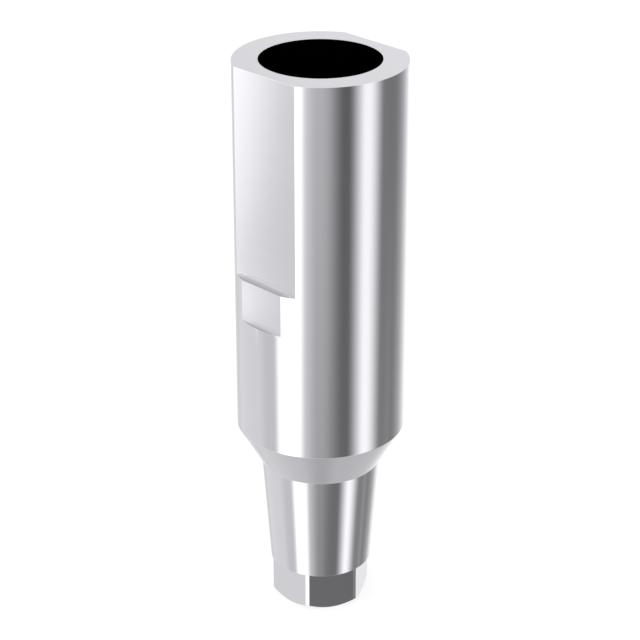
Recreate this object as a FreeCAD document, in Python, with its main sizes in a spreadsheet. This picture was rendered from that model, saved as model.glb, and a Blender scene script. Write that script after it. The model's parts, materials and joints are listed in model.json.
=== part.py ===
import FreeCAD, Part
import os

import Sketcher

# A dental scan body: a small titanium post that is screwed into an implant, so that an optical scanner
# can read where the implant lies and how it is turned.
#
# It stands upright with its axis on Z. The hexagon's end face is at Z = 0, and the scan flats face -Y
# (the front) and +Y. All sizes are in millimetres.

SIZES = {
    # Turned cylinder and its milled scan flats, measured down from the top face.
    "body_diameter": 4.75,
    "body_length": 10.75,
    "long_flat_distance": 2.075,
    "long_flat_length": 5.95,
    "short_flat_distance": 2.25,
    "short_flat_length": 1.2,
    # Connection: lead-in cone, conical seat and hexagon, from the cylinder down to the end face.
    "lead_in_length": 1.2,
    "seat_large_diameter": 3.37,
    "seat_small_diameter": 2.9,
    "seat_length": 3.2,
    "hexagon_across_flats": 2.5,
    "hexagon_corner_diameter": 2.825,
    "hexagon_length": 1.2,
    "hexagon_end_diameter": 2.46,
    "hexagon_end_angle": 40,
    # Channel from the top face: driver bore, funnel, head chamber with the screw's seat, thread bore.
    "driver_bore_diameter": 3.3,
    "driver_bore_length": 6.8,
    "funnel_length": 0.4,
    "chamber_diameter": 2.5,
    "screw_seat_level": 4,
    "thread_bore_diameter": 1.9,
    "thread_bore_relief": 0.15,
    "edge_break": 0.04,
    # Retaining screw, measured from the bearing face under its head.
    "head_diameter": 2.3,
    "head_length": 2,
    "head_chamfer": 0.15,
    "socket_across_flats": 1.25,
    "socket_depth": 1.2,
    "socket_pilot_diameter": 1.2,
    "socket_point_length": 0.35,
    "neck_diameter": 1.3,
    "neck_fillet": 0.1,
    "thread_diameter": 1.8,
    "thread_length": 3,
    "thread_run_out": 0.25,
    "screw_reach": 3,
    "screw_recess": 0.2,
    # How far a milling cut runs out past the bar that it cuts.
    "cutter_overrun": 1,
}

# Sizes that follow from the ones above.
DERIVED = {
    "seat_level": "=hexagon_length",
    "lead_in_level": "=hexagon_length + seat_length",
    "body_level": "=hexagon_length + seat_length + lead_in_length",
    "total_length": "=hexagon_length + seat_length + lead_in_length + body_length",
    "long_flat_level": "=total_length - long_flat_length",
    "short_flat_level": "=total_length - long_flat_length - short_flat_length",
    "funnel_level": "=total_length - driver_bore_length",
    "chamber_level": "=total_length - driver_bore_length - funnel_length",
    "screw_length": "=screw_seat_level + screw_reach",
    "screw_travel": "=screw_reach + screw_recess",
    "head_level": "=screw_seat_level + screw_reach + screw_recess",
}

LINE_START = 1
LINE_END = 2
ORIGIN = (-1, 1)
VERTICAL_AXIS = -2
OUT_OF_ROUND = 1e-6


def make_sheet(doc):
    """The sheet of sizes: a name, its value and the value's alias on each row."""
    sheet = doc.addObject("Spreadsheet::Sheet", "Sizes")
    rows = {**SIZES, **DERIVED}
    for row, (name, value) in enumerate(rows.items(), start=1):
        sheet.set(f"A{row}", name.replace("_", " "))
        sheet.set(f"B{row}", str(value))
        sheet.setAlias(f"B{row}", name)
    doc.recompute()
    return sheet


def origin_feature(body, role):
    """One of the planes or axes of a body's own origin."""
    return next(f for f in body.Origin.OriginFeatures if f.Role == role)


def new_sketch(body, name, plane, level=None):
    """A sketch on one of the body's origin planes, raised along its normal by a sheet expression."""
    sketch = body.newObject("Sketcher::SketchObject", name)
    sketch.AttachmentSupport = (origin_feature(body, plane), "")
    sketch.MapMode = "FlatFace"
    if level:
        sketch.setExpression("AttachmentOffset.Base.z", level)
    return sketch


def bind(sketch, kind, edge, expression, name):
    """Holds an edge's first point at an expression's distance from the sketch's origin."""
    value = float(sketch.evalExpression(expression))
    if kind == "DistanceX" and abs(value) < OUT_OF_ROUND:
        sketch.addConstraint(Sketcher.Constraint("PointOnObject", edge, LINE_START, VERTICAL_AXIS))
        return
    sketch.addConstraint(Sketcher.Constraint(kind, *ORIGIN, edge, LINE_START, value))
    index = sketch.ConstraintCount - 1
    sketch.renameConstraint(index, name)
    sketch.setExpression(f"Constraints.{name}", expression)


def draw_outline(sketch, corners):
    """A closed outline of straight edges. corners: name -> (across, up), both sheet expressions."""
    points = [
        FreeCAD.Vector(*(float(sketch.evalExpression(x)) for x in corner), 0)
        for corner in corners.values()
    ]
    edges = [
        sketch.addGeometry(Part.LineSegment(a, b), False)
        for a, b in zip(points, points[1:] + points[:1])
    ]
    for edge, following in zip(edges, edges[1:] + edges[:1]):
        sketch.addConstraint(Sketcher.Constraint("Coincident", edge, LINE_END, following, LINE_START))
    for edge, (name, (across, up)) in zip(edges, corners.items()):
        bind(sketch, "DistanceX", edge, across, f"{name}_across")
        bind(sketch, "DistanceY", edge, up, f"{name}_up")


def draw_window(sketch, left, right, bottom, top):
    """A rectangle between four sheet expressions."""
    draw_outline(
        sketch,
        {
            "bottom_left": (left, bottom),
            "bottom_right": (right, bottom),
            "top_right": (right, top),
            "top_left": (left, top),
        },
    )


def draw_hexagon(sketch, across_flats):
    """A regular hexagon with two sides level, its corners on a construction circle."""
    radius = float(sketch.evalExpression(f"{across_flats} / 2 / cos(30 deg)"))
    upright = FreeCAD.Vector(0, 0, 1)
    middle = FreeCAD.Vector(0, 0, 0)
    circle = sketch.addGeometry(Part.Circle(middle, upright, radius), True)
    turn = FreeCAD.Rotation(upright, 60)
    corners = [FreeCAD.Vector(radius, 0, 0)]
    for _ in range(5):
        corners.append(turn.multVec(corners[-1]))
    sides = [
        sketch.addGeometry(Part.LineSegment(a, b), False)
        for a, b in zip(corners, corners[1:] + corners[:1])
    ]
    sketch.addConstraint(Sketcher.Constraint("Coincident", circle, 3, *ORIGIN))
    for side, following in zip(sides, sides[1:] + sides[:1]):
        sketch.addConstraint(Sketcher.Constraint("Coincident", side, LINE_END, following, LINE_START))
        sketch.addConstraint(Sketcher.Constraint("PointOnObject", side, LINE_START, circle))
    for side in sides[1:]:
        sketch.addConstraint(Sketcher.Constraint("Equal", sides[0], side))
    sketch.addConstraint(Sketcher.Constraint("Horizontal", sides[1]))
    sketch.addConstraint(Sketcher.Constraint("Radius", circle, radius))
    sketch.renameConstraint(sketch.ConstraintCount - 1, "corner_radius")
    sketch.setExpression("Constraints.corner_radius", f"{across_flats} / 2 / cos(30 deg)")


def turn_profile(body, name, corners):
    """A solid turned about Z from half of its section, drawn on the XZ plane."""
    sketch = new_sketch(body, f"{name}Section", "XZ_Plane")
    draw_outline(sketch, corners)
    feature = body.newObject("PartDesign::Revolution", name)
    feature.Profile = sketch
    feature.ReferenceAxis = (sketch, ["V_Axis"])
    feature.Angle = 360
    return finish_feature(body, feature)


def groove_profile(body, name, corners):
    """A turned cut about Z, from half of its section on the XZ plane."""
    sketch = new_sketch(body, f"{name}Section", "XZ_Plane")
    draw_outline(sketch, corners)
    feature = body.newObject("PartDesign::Groove", name)
    feature.Profile = sketch
    feature.ReferenceAxis = (sketch, ["V_Axis"])
    feature.Angle = 360
    return finish_feature(body, feature)


def mill_flat(body, name, distance, bottom, top):
    """A flat that faces -Y: everything in front of the plane at that distance is milled away."""
    sketch = new_sketch(body, f"{name}Window", "XZ_Plane", distance)
    reach = "Sizes.body_diameter / 2 + Sizes.cutter_overrun"
    draw_window(sketch, f"-({reach})", reach, bottom, top)
    feature = body.newObject("PartDesign::Pocket", name)
    feature.Profile = sketch
    feature.Type = "Length"
    feature.setExpression("Length", "Sizes.body_diameter")
    feature.Reversed = True
    return finish_feature(body, feature)


def finish_feature(body, feature):
    """Makes a feature the body's tip, rebuilds, and sees that it changed the solid's volume."""
    before = feature.BaseFeature.Shape.Volume if feature.BaseFeature else 0
    body.Tip = feature
    body.Document.recompute()
    if abs(feature.Shape.Volume - before) < OUT_OF_ROUND:
        raise ValueError(f"{body.Label}: {feature.Label} changes nothing")
    return feature


def edges_at_level(shape, level):
    """Names of the edges that lie wholly in the level plane at that height."""
    return [
        f"Edge{i}"
        for i, edge in enumerate(shape.Edges, start=1)
        if all(abs(z - level) < OUT_OF_ROUND for z in (edge.BoundBox.ZMin, edge.BoundBox.ZMax))
    ]


def make_scan_body(doc, sheet):
    """The post: turned with its channel, then milled with two long flats, one short flat and a hexagon."""
    body = doc.addObject("PartDesign::Body", "ScanBody")
    body.Label = "scan_body"

    turn_profile(
        body,
        "TurnedBlank",
        {
            "end_bore": ("Sizes.thread_bore_diameter / 2 + Sizes.thread_bore_relief", "0"),
            "end_rim": ("Sizes.hexagon_corner_diameter / 2", "0"),
            "hexagon_root": ("Sizes.hexagon_corner_diameter / 2", "Sizes.seat_level"),
            "seat_bottom": ("Sizes.seat_small_diameter / 2", "Sizes.seat_level"),
            "seat_top": ("Sizes.seat_large_diameter / 2", "Sizes.lead_in_level"),
            "cylinder_bottom": ("Sizes.body_diameter / 2", "Sizes.body_level"),
            "top_rim": ("Sizes.body_diameter / 2", "Sizes.total_length"),
            "mouth": ("Sizes.driver_bore_diameter / 2", "Sizes.total_length"),
            "driver_bore_bottom": ("Sizes.driver_bore_diameter / 2", "Sizes.funnel_level"),
            "chamber_top": ("Sizes.chamber_diameter / 2", "Sizes.chamber_level"),
            "chamber_bottom": ("Sizes.chamber_diameter / 2", "Sizes.screw_seat_level"),
            "screw_seat": ("Sizes.thread_bore_diameter / 2", "Sizes.screw_seat_level"),
            "thread_bore_bottom": ("Sizes.thread_bore_diameter / 2", "Sizes.thread_bore_relief"),
        },
    )

    # The long scan flats are a pair, milled on opposite sides with one ledge height.
    over_the_top = "Sizes.total_length + Sizes.cutter_overrun"
    long_flat = mill_flat(
        body, "LongFlat", "Sizes.long_flat_distance", "Sizes.long_flat_level", over_the_top
    )
    opposite = body.newObject("PartDesign::Mirrored", "OppositeLongFlat")
    opposite.Originals = [long_flat]
    opposite.MirrorPlane = (origin_feature(body, "XZ_Plane"), [""])
    finish_feature(body, opposite)

    # The short flat below the front one makes the body one-sided, so a scan shows which way it is turned.
    mill_flat(
        body,
        "ShortFlat",
        "Sizes.short_flat_distance",
        "Sizes.short_flat_level",
        "Sizes.long_flat_level",
    )

    # Six sides, parallel to the scan flats two by two, leave narrow turned lands at the corners.
    side = mill_flat(
        body,
        "HexagonSide",
        "Sizes.hexagon_across_flats / 2",
        "-Sizes.cutter_overrun",
        "Sizes.seat_level",
    )
    hexagon = body.newObject("PartDesign::PolarPattern", "Hexagon")
    hexagon.Originals = [side]
    hexagon.Axis = (origin_feature(body, "Z_Axis"), [""])
    hexagon.Angle = 360
    hexagon.Occurrences = 6
    finish_feature(body, hexagon)

    # A turned cone rounds the hexagon's end, so that it finds its way into the implant.
    cone_reach = "Sizes.cutter_overrun"
    cone_rise = "Sizes.cutter_overrun * tan(Sizes.hexagon_end_angle * 1 deg)"
    groove_profile(
        body,
        "HexagonEndCone",
        {
            "cone_small_end": ("Sizes.hexagon_end_diameter / 2", "0"),
            "below": ("Sizes.hexagon_end_diameter / 2", "-Sizes.cutter_overrun"),
            "below_outside": (f"Sizes.hexagon_end_diameter / 2 + {cone_reach}", "-Sizes.cutter_overrun"),
            "cone_large_end": (f"Sizes.hexagon_end_diameter / 2 + {cone_reach}", cone_rise),
        },
    )

    milled = body.Tip
    top_edges = edges_at_level(milled.Shape, float(sheet.total_length))
    edge_break = body.newObject("PartDesign::Chamfer", "TopEdgeBreak")
    edge_break.Base = (milled, top_edges)
    edge_break.setExpression("Size", "Sizes.edge_break")
    finish_feature(body, edge_break)
    return body


def make_retaining_screw(doc):
    """The screw in the channel, backed off so that its tip stays just inside the hexagon's end."""
    body = doc.addObject("PartDesign::Body", "RetainingScrew")
    body.Label = "retaining_screw"
    body.setExpression("Placement.Base.z", "Sizes.head_level")

    turn_profile(
        body,
        "TurnedScrew",
        {
            "socket_point": ("0", "Sizes.head_length - Sizes.socket_depth - Sizes.socket_point_length"),
            "tip_middle": ("0", "-Sizes.screw_length"),
            "tip_rim": ("Sizes.neck_diameter / 2", "-Sizes.screw_length"),
            "thread_bottom": ("Sizes.thread_diameter / 2", "Sizes.thread_run_out - Sizes.screw_length"),
            "thread_top": (
                "Sizes.thread_diameter / 2",
                "Sizes.thread_length - Sizes.thread_run_out - Sizes.screw_length",
            ),
            "neck_bottom": ("Sizes.neck_diameter / 2", "Sizes.thread_length - Sizes.screw_length"),
            "neck_top": ("Sizes.neck_diameter / 2", "-Sizes.neck_fillet"),
            "bearing_face": ("Sizes.neck_diameter / 2 + Sizes.neck_fillet", "0"),
            "head_bottom": ("Sizes.head_diameter / 2", "0"),
            "head_side_top": ("Sizes.head_diameter / 2", "Sizes.head_length - Sizes.head_chamfer"),
            "head_top": ("Sizes.head_diameter / 2 - Sizes.head_chamfer", "Sizes.head_length"),
            "pilot_top": ("Sizes.socket_pilot_diameter / 2", "Sizes.head_length"),
            "pilot_bottom": ("Sizes.socket_pilot_diameter / 2", "Sizes.head_length - Sizes.socket_depth"),
        },
    )

    # The driver's hexagon is broached round a drilled pilot hole.
    sketch = new_sketch(body, "SocketHexagon", "XY_Plane", "Sizes.head_length")
    draw_hexagon(sketch, "Sizes.socket_across_flats")
    socket = body.newObject("PartDesign::Pocket", "DriverSocket")
    socket.Profile = sketch
    socket.Type = "Length"
    socket.setExpression("Length", "Sizes.socket_depth")
    finish_feature(body, socket)
    return body


def check_document(doc):
    """Stops if any object of the document failed to build."""
    for item in doc.Objects:
        faults = {"Invalid", "Error"} & set(item.State)
        if faults:
            raise ValueError(f"{item.Label} is {', '.join(sorted(faults))}")


def export_part(part):
    """Writes one sub-part to a STEP file of its own name."""
    shape = part.Shape
    if shape.isNull() or not shape.isValid() or len(shape.Solids) != 1:
        raise ValueError(f"{part.Label} isn't one valid solid")
    shape.exportStep(os.path.join("parts", f"{part.Label}.step"))
    box = shape.BoundBox
    print(
        f"{part.Label}: {box.XLength:.3f} x {box.YLength:.3f} x {box.ZLength:.3f} mm,"
        f" Z {box.ZMin:.3f} to {box.ZMax:.3f}, volume {shape.Volume:.3f} mm3"
    )


os.makedirs("parts", exist_ok=True)
document = FreeCAD.newDocument("DentalScanBody")
sizes = make_sheet(document)
sub_parts = [make_scan_body(document, sizes), make_retaining_screw(document)]
document.recompute()
check_document(document)
for sub_part in sub_parts:
    export_part(sub_part)
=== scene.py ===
# %% [markdown]
# # A scan body of bare titanium
# The real object is an upright post, 16 mm tall. It is screwed into a dental implant, and an optical scanner
# reads the implant's place and turn from the flats that are milled on it.
# It is turned from bar, so nearly every surface is a profile carried round one axis. Only the flats and the
# hexagon break that rule, and they do it by changing the distance from the axis with the angle.
# One grid of angle and height is therefore enough for the whole body, where boxes and cylinders cut from
# each other would leave long thin faces and no soft edges.

# %% Load the CAD frame
import json
import bpy
import numpy as np
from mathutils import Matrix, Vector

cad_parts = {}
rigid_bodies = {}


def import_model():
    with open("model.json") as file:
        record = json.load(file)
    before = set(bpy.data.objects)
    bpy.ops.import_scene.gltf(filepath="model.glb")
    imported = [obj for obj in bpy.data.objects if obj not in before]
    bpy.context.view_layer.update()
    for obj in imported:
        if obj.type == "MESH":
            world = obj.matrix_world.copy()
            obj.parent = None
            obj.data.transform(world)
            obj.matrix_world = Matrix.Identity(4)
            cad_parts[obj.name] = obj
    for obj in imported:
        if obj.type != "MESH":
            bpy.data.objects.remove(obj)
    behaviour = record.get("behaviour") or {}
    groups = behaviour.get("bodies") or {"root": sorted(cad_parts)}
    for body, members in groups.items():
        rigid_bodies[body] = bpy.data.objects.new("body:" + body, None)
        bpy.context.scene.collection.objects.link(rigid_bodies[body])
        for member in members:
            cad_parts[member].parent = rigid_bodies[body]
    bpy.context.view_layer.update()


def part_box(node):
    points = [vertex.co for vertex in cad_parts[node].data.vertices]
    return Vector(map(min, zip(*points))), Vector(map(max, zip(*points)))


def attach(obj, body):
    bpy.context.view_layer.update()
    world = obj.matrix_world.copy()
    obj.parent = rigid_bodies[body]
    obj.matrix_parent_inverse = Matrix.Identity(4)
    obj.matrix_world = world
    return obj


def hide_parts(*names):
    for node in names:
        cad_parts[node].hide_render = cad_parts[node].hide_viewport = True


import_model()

# %% [markdown]
# ## Sizes
# The drawing of such a part gives its sizes in millimetres, so they stand here in millimetres too, and
# become metres only when a mesh is made. The axis is Z, and the front flat faces -Y.
# Every size is given once and by name, because the flats, the ledges and the soft edges all depend on each
# other.

# %% Sizes of the body, in millimetres
MILLIMETRE = 0.001
POST_RADIUS = 2.375
POST_FOOT = 5.60
POST_TOP = 16.35
LONG_FLAT = 2.075
LONG_FLAT_FOOT = 10.40
SHORT_FLAT = 2.25
SHORT_FLAT_FOOT = 9.20
SEAT_RADIUS = 1.685
SEAT_TOP = 4.40
SEAT_FOOT_RADIUS = 1.45
SEAT_FOOT = 1.20
HEXAGON_HALF = 1.25
HEXAGON_CORNER = 1.4125
HEXAGON_END = 1.23
END_SLOPE = np.tan(np.radians(40.0))
BORE_RADIUS = 1.65
BORE_FOOT = 9.55
CHAMBER_RADIUS = 1.25
CHAMBER_TOP = 9.15
SCREW_STOP = 4.00
THREAD_BORE = 0.95
RELIEF_RADIUS = 1.10
RELIEF_TOP = 0.15
SOFT_EDGE = 0.01
low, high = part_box("scan_body")
print("body in the CAD model, mm:", [round(v * 1000, 3) for v in (*low, *high)])

# %% [markdown]
# ## One set of angles
# All rows of the grid share their angles, so that each row meets the next without cracks. An even step makes
# the round parts smooth. The corners of the flats and of the hexagon are added exactly, because a corner that
# falls between two angles would be cut off and would glitter in the light.

# %% Angles round the axis
ANGLE_STEP = 1.0
ANGLE_BESIDE_ARC = 0.25


def angles_round(step, corners):
    """An even step round the circle in degrees, with each corner added, and without the even angles that lie
    within a third of a step of a corner. The result is in radians and in order."""
    even = np.arange(0.0, 360.0, step)
    corners = np.unique(np.round(np.mod(corners, 360.0), 5))
    apart = np.abs((even[:, None] - corners[None, :] + 180.0) % 360.0 - 180.0).min(axis=1)
    return np.radians(np.sort(np.concatenate([even[apart > step / 3], corners])))


def flat_turn(radius, distance, soften):
    """A small arc of radius soften touches the flat's line and the circle from inside. Its centre is at
    distance - soften from the axis across the flat and radius - soften in all, so the arc ends on the circle
    where the cosine is the one divided by the other, and on the line straight below its centre. Both angles
    are from the normal."""
    ends_on_circle = np.arccos((distance - soften) / (radius - soften))
    ends_on_line = np.arctan2((radius - soften) * np.sin(ends_on_circle), distance)
    return ends_on_line, ends_on_circle


def flat_corners(middle, distance):
    """The angles, in degrees, that one flat needs on both its sides: its arc in three steps, and one angle
    more on either side of the arc, so that the shading of the flat stays flat up to the arc."""
    start, end = np.degrees(flat_turn(POST_RADIUS, distance, SOFT_EDGE))
    arc = np.linspace(start, end, 4)
    one_side = np.concatenate([[start - ANGLE_BESIDE_ARC], arc, [end + ANGLE_BESIDE_ARC]])
    return np.concatenate([middle - one_side, middle + one_side])


hexagon_normals = 30.0 + 60.0 * np.arange(6)
land = np.degrees(np.arccos(HEXAGON_HALF / HEXAGON_CORNER))
hexagon_corners = (hexagon_normals[:, None] + np.array([-land, land])).ravel()
all_corners = [flat_corners(270.0, LONG_FLAT), flat_corners(90.0, LONG_FLAT),
               flat_corners(270.0, SHORT_FLAT), hexagon_corners]
angle = angles_round(ANGLE_STEP, np.concatenate(all_corners))
print("angles round the body:", len(angle))

# %% [markdown]
# ## Flats as a change of distance
# A milled flat is a straight line in the section of the post. Seen from the axis, a straight line at a
# distance d lies d divided by the cosine of the angle away. So a flat is nothing but a smaller distance from
# the axis over a part of the circle, and the grid needs no cut. Where line and circle meet, the mill leaves a
# sharp edge that is broken by hand; the small arc stands for that.

# %% The outline of a section
FRONT, BACK = 1.5 * np.pi, 0.5 * np.pi


def beside(turn, middle):
    """How far each angle is from the middle angle, from 0 to half a turn, in radians."""
    return np.abs((turn - middle + np.pi) % (2 * np.pi) - np.pi)


def cut_by_flat(turn, radius, distance, middle, soften):
    """Distance from the axis to a circle with one flat. Beside the normal it is distance / cos, on the arc it
    is the far crossing of a ray with the arc's circle, and elsewhere it is the radius."""
    away = beside(turn, middle)
    start, end = flat_turn(radius, distance, soften)
    line = distance / np.cos(np.minimum(away, start))
    reach = radius - soften
    half_chord = np.sqrt(np.maximum(soften ** 2 - (reach * np.sin(away - end)) ** 2, 0.0))
    arc = reach * np.cos(away - end) + half_chord
    return np.select([away <= start + 1e-9, away <= end], [line, arc], radius)


def outline(front=None, back=None, inset=0.0):
    """The post's outline, pulled in by inset all round: the smallest one of its circle, its front flat and
    its back flat."""
    whole = np.full(len(angle), POST_RADIUS - inset)
    for distance, middle in ((front, FRONT), (back, BACK)):
        if distance is not None:
            cut = cut_by_flat(angle, POST_RADIUS - inset, distance - inset, middle, SOFT_EDGE)
            whole = np.minimum(whole, cut)
    return whole


scan_outline = outline(front=LONG_FLAT, back=LONG_FLAT)
short_outline = outline(front=SHORT_FLAT)
round_outline = outline()
print("long flat in mm, wide:", round(2 * (POST_RADIUS ** 2 - LONG_FLAT ** 2) ** 0.5, 3))

# %% [markdown]
# ## Soft edges on the profile
# No machined edge is perfectly sharp: it carries a tiny round that catches the light as a thin line, and the
# eye takes that line for metal. Each corner of the turned profile is therefore replaced by a short arc. Extra
# points just beside the arc keep the long faces evenly shaded.

# %% Round the corners of a profile
BESIDE_ARC = 0.012
BESIDE_ARC_SHARE = 0.04
LONGEST_TOUCH = 0.45
DEGREES_PER_STEP = 18
STRAIGHT = 1e-4


def soft_profile(points, rounds):
    """Points are distance and height, and rounds one radius for each. The arc at a corner touches both runs
    at the radius times the tangent of half the turn from the corner, and it is never longer than 0.45 of a
    run. Returns the finer profile with a mark that is 1 on arcs and 0 on the runs."""
    points = np.asarray(points, float)
    fine, mark = [points[:1]], [np.zeros(1)]
    for before, corner, after, radius in zip(points, points[1:], points[2:], rounds[1:]):
        run_in, run_out = corner - before, after - corner
        long_in, long_out = np.hypot(*run_in), np.hypot(*run_out)
        run_in, run_out = run_in / long_in, run_out / long_out
        turn = np.arccos(np.clip(run_in @ run_out, -1.0, 1.0))
        if radius <= 0 or turn < STRAIGHT:
            fine.append(corner[None, :])
            mark.append(np.zeros(1))
            continue
        touch = min(radius * np.tan(turn / 2), LONGEST_TOUCH * long_in, LONGEST_TOUCH * long_out)
        beside_it = min(BESIDE_ARC, BESIDE_ARC_SHARE * long_in, BESIDE_ARC_SHARE * long_out)
        steps = np.linspace(0.0, 1.0, max(3, int(np.ceil(np.degrees(turn) / DEGREES_PER_STEP)) + 1))
        first, second = (1 - steps) ** 2, steps ** 2
        between = 2 * steps * (1 - steps) * np.cos(turn / 2)
        weight = first + second + between
        arc = (first[:, None] * (corner - touch * run_in) + second[:, None] * (corner + touch * run_out)
               + between[:, None] * corner) / weight[:, None]
        just_before = corner - (touch + beside_it) * run_in
        just_after = corner + (touch + beside_it) * run_out
        fine += [just_before[None, :], arc, just_after[None, :]]
        mark += [np.zeros(1), np.ones(len(arc)), np.zeros(1)]
    fine.append(points[-1:])
    mark.append(np.zeros(1))
    return np.concatenate(fine), np.concatenate(mark)


square = soft_profile([(1.0, 1.0), (1.0, 0.0), (0.0, 0.0)], [0.0, SOFT_EDGE, 0.0])
print("points on the arc of a square corner:", int(square[1].sum()))

# %% [markdown]
# ## Rows of the body
# A row is one distance and one height for each angle. Walking from the mouth over the top face, down the
# outside, round the hexagon's end and up the channel gives rows that close on themselves, so the body is one
# closed skin. Each row also says how much painted highlight its points get, on the soft edges, the ledges and
# the short flat, and the finish of the band behind it.

# %% Collect rows
rows = {"distance": [], "height": [], "edge": [], "finish": []}
FINISHES = ["turned", "milled", "faced", "channel"]


def add_row(distance, height, edge=0.0, finish="turned"):
    """Adds one row. Its third value is the painted highlight of its points, and the finish names the band
    between this row and the next one.
    """
    count = len(angle)
    rows["distance"].append(np.broadcast_to(np.asarray(distance, float), count))
    rows["height"].append(np.broadcast_to(np.asarray(height, float), count))
    rows["edge"].append(np.broadcast_to(np.asarray(edge, float), count))
    rows["finish"].append(FINISHES.index(finish))


def add_profile(points, rounds, finish="turned"):
    """Adds the rows of a turned profile with softened corners."""
    fine, mark = soft_profile(points, rounds)
    for (distance, height), on_arc in zip(fine, mark):
        add_row(distance, height, on_arc, finish)


print("finishes of the bands:", FINISHES)

# %% [markdown]
# ## Ledges under the flats
# Below each flat the mill stops, and a ledge stays. Its width goes to nothing where the flat runs out into
# the round, so the soft edge there shrinks with the width, or it would cut a groove into the plain cylinder.
# The cutter's own round corner leaves a small hollow where the flat meets the ledge. The hollow shows as a
# thin dark line, because it turns the reflection up to a dark card, so it is made as real form.

# %% Sizes and rows of a ledge
# Painted highlight on the lower part of each ledge's hollow, and the turn in radians from which it starts.
LEDGE_HIGHLIGHT = 3.0
HIGHLIGHT_FROM = 1.15
PROUD_EDGE = 0.006
PROUD_SHARE = 0.2
HOLLOW_SHARE = 0.69
HOLLOW_GROWTH = 1.25
BESIDE_LEDGE = 0.02
hollow_turn = np.radians(np.arange(0.0, 91.0, 10.0))
quarter_turn = np.radians([0.0, 22.5, 45.0, 67.5, 90.0])


def add_ledge(inner, outer, level, finish="milled"):
    """A step at one height, from the inner outline above it to the outer one below it. The cutter's round
    corner leaves a hollow quarter arc over two thirds of the ledge, and the outer edge is a small proud one.
    Both shrink with the ledge where it runs out, the hollow's height more slowly than its width. The lower
    part of the hollow, where it turns into the ledge, gets a strong painted highlight that lightens its dark
    reflection, and the proud edge a weaker one."""
    width = outer - inner
    at_front = np.sin(angle) < 0
    full_width = np.where(at_front, width[at_front].max(), width[~at_front].max())
    proud = np.minimum(PROUD_EDGE, PROUD_SHARE * width)
    hollow = HOLLOW_SHARE * width
    hollow_height = hollow * (1 + HOLLOW_GROWTH * (1 - width / np.maximum(full_width, 1e-9)))
    add_row(inner, level + hollow_height + BESIDE_LEDGE)
    for turn in hollow_turn:
        # A painted highlight lightens the dark reflection in the hollow's lower part.
        ledge_highlight = LEDGE_HIGHLIGHT if turn > HIGHLIGHT_FROM else 0.0
        distance = inner + hollow * (1 - np.cos(turn))
        add_row(distance, level + hollow_height * (1 - np.sin(turn)), ledge_highlight, finish)
    for turn in quarter_turn:
        distance = outer - proud * (1 - np.sin(turn))
        add_row(distance, level - proud * (1 - np.cos(turn)), np.minimum(1.0, proud / PROUD_EDGE),
                finish if turn < quarter_turn[-1] else "turned")


print("rows of one ledge:", 1 + len(hollow_turn) + len(quarter_turn))

# %% Walk from the mouth down to the foot of the post
RIM = 0.012
RIM_EDGE_WIDE, RIM_EDGE_DEEP = 0.002, 0.004
# Painted highlight that makes the short flat a shade brighter than the long flat.
SHORT_FLAT_HIGHLIGHT = 0.3
ABOVE_LONG_LEDGE, ABOVE_SHORT_LEDGE, ABOVE_CONE = 0.32, 0.15, 0.4
# A point that is nearer to the circle than this counts as round.
ON_ROUND = 0.002
add_row(BORE_RADIUS + RIM, POST_TOP - RIM_EDGE_DEEP, 0.0, "channel")
add_row(BORE_RADIUS + RIM + RIM_EDGE_WIDE, POST_TOP, 0.0, "faced")
add_row(BORE_RADIUS + RIM + BESIDE_ARC, POST_TOP, 0.0, "faced")
add_row(outline(LONG_FLAT, LONG_FLAT, SOFT_EDGE + BESIDE_ARC), POST_TOP, 0.0, "faced")
for turn in quarter_turn:
    inset = SOFT_EDGE * (1 - np.sin(turn))
    level = POST_TOP - SOFT_EDGE * (1 - np.cos(turn))
    add_row(outline(LONG_FLAT, LONG_FLAT, inset), level, 1.0, "turned")
for level in np.linspace(POST_TOP - SOFT_EDGE - BESIDE_ARC, LONG_FLAT_FOOT + ABOVE_LONG_LEDGE, 8):
    add_row(scan_outline, level)
add_ledge(scan_outline, short_outline, LONG_FLAT_FOOT)
# The short flat gets a painted highlight, a shade brighter than the long flat.
for level in np.linspace(LONG_FLAT_FOOT - BESIDE_LEDGE, SHORT_FLAT_FOOT + ABOVE_SHORT_LEDGE, 4):
    add_row(short_outline, level, SHORT_FLAT_HIGHLIGHT * (short_outline < POST_RADIUS - ON_ROUND))
add_ledge(short_outline, round_outline, SHORT_FLAT_FOOT)
for level in np.linspace(SHORT_FLAT_FOOT - BESIDE_LEDGE, POST_FOOT + ABOVE_CONE, 4):
    add_row(round_outline, level)
print("rows down to the foot of the post:", len(rows["height"]))

# %% [markdown]
# ## Cone, seat and hexagon
# The cones are a plain profile. The hexagon is milled from a turned end, so its corners are still round, and
# its outline is the smaller one of two distances: the one to the turned round, and the one to the nearest
# side, which is divided by the cosine of the angle from it. Its end is chamfered on the lathe, so the chamfer
# climbs higher at the corners than in the middle of a side: its height follows from the distance.

# %% Walk over the cone, the seat and the hexagon
FOOT_ROUND, CONE_ROUND = 0.03, 0.02
ABOVE_FOOT = 0.2
BESIDE_HEXAGON = 0.004
END_TOUCH = 0.008
ABOVE_END_TOUCH = 0.003
BELOW_END_TOUCH = 1.3
BESIDE_END = 0.006
add_profile([(POST_RADIUS, POST_FOOT + ABOVE_FOOT), (POST_RADIUS, POST_FOOT), (SEAT_RADIUS, SEAT_TOP),
             (SEAT_FOOT_RADIUS, SEAT_FOOT), (HEXAGON_CORNER + BESIDE_HEXAGON, SEAT_FOOT)],
            [0.0, FOOT_ROUND, CONE_ROUND, SOFT_EDGE, 0.0])
off_face = beside(angle[:, None], np.radians(hexagon_normals)[None, :]).min(axis=1)
off_corner = np.pi / 6 - off_face
flat_land = HEXAGON_CORNER * np.cos(np.pi / 6 - np.radians(land))
hexagon = np.minimum(flat_land / np.cos(off_corner), HEXAGON_HALF / np.cos(off_face))
end_edge = (hexagon - HEXAGON_END) * END_SLOPE
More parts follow.
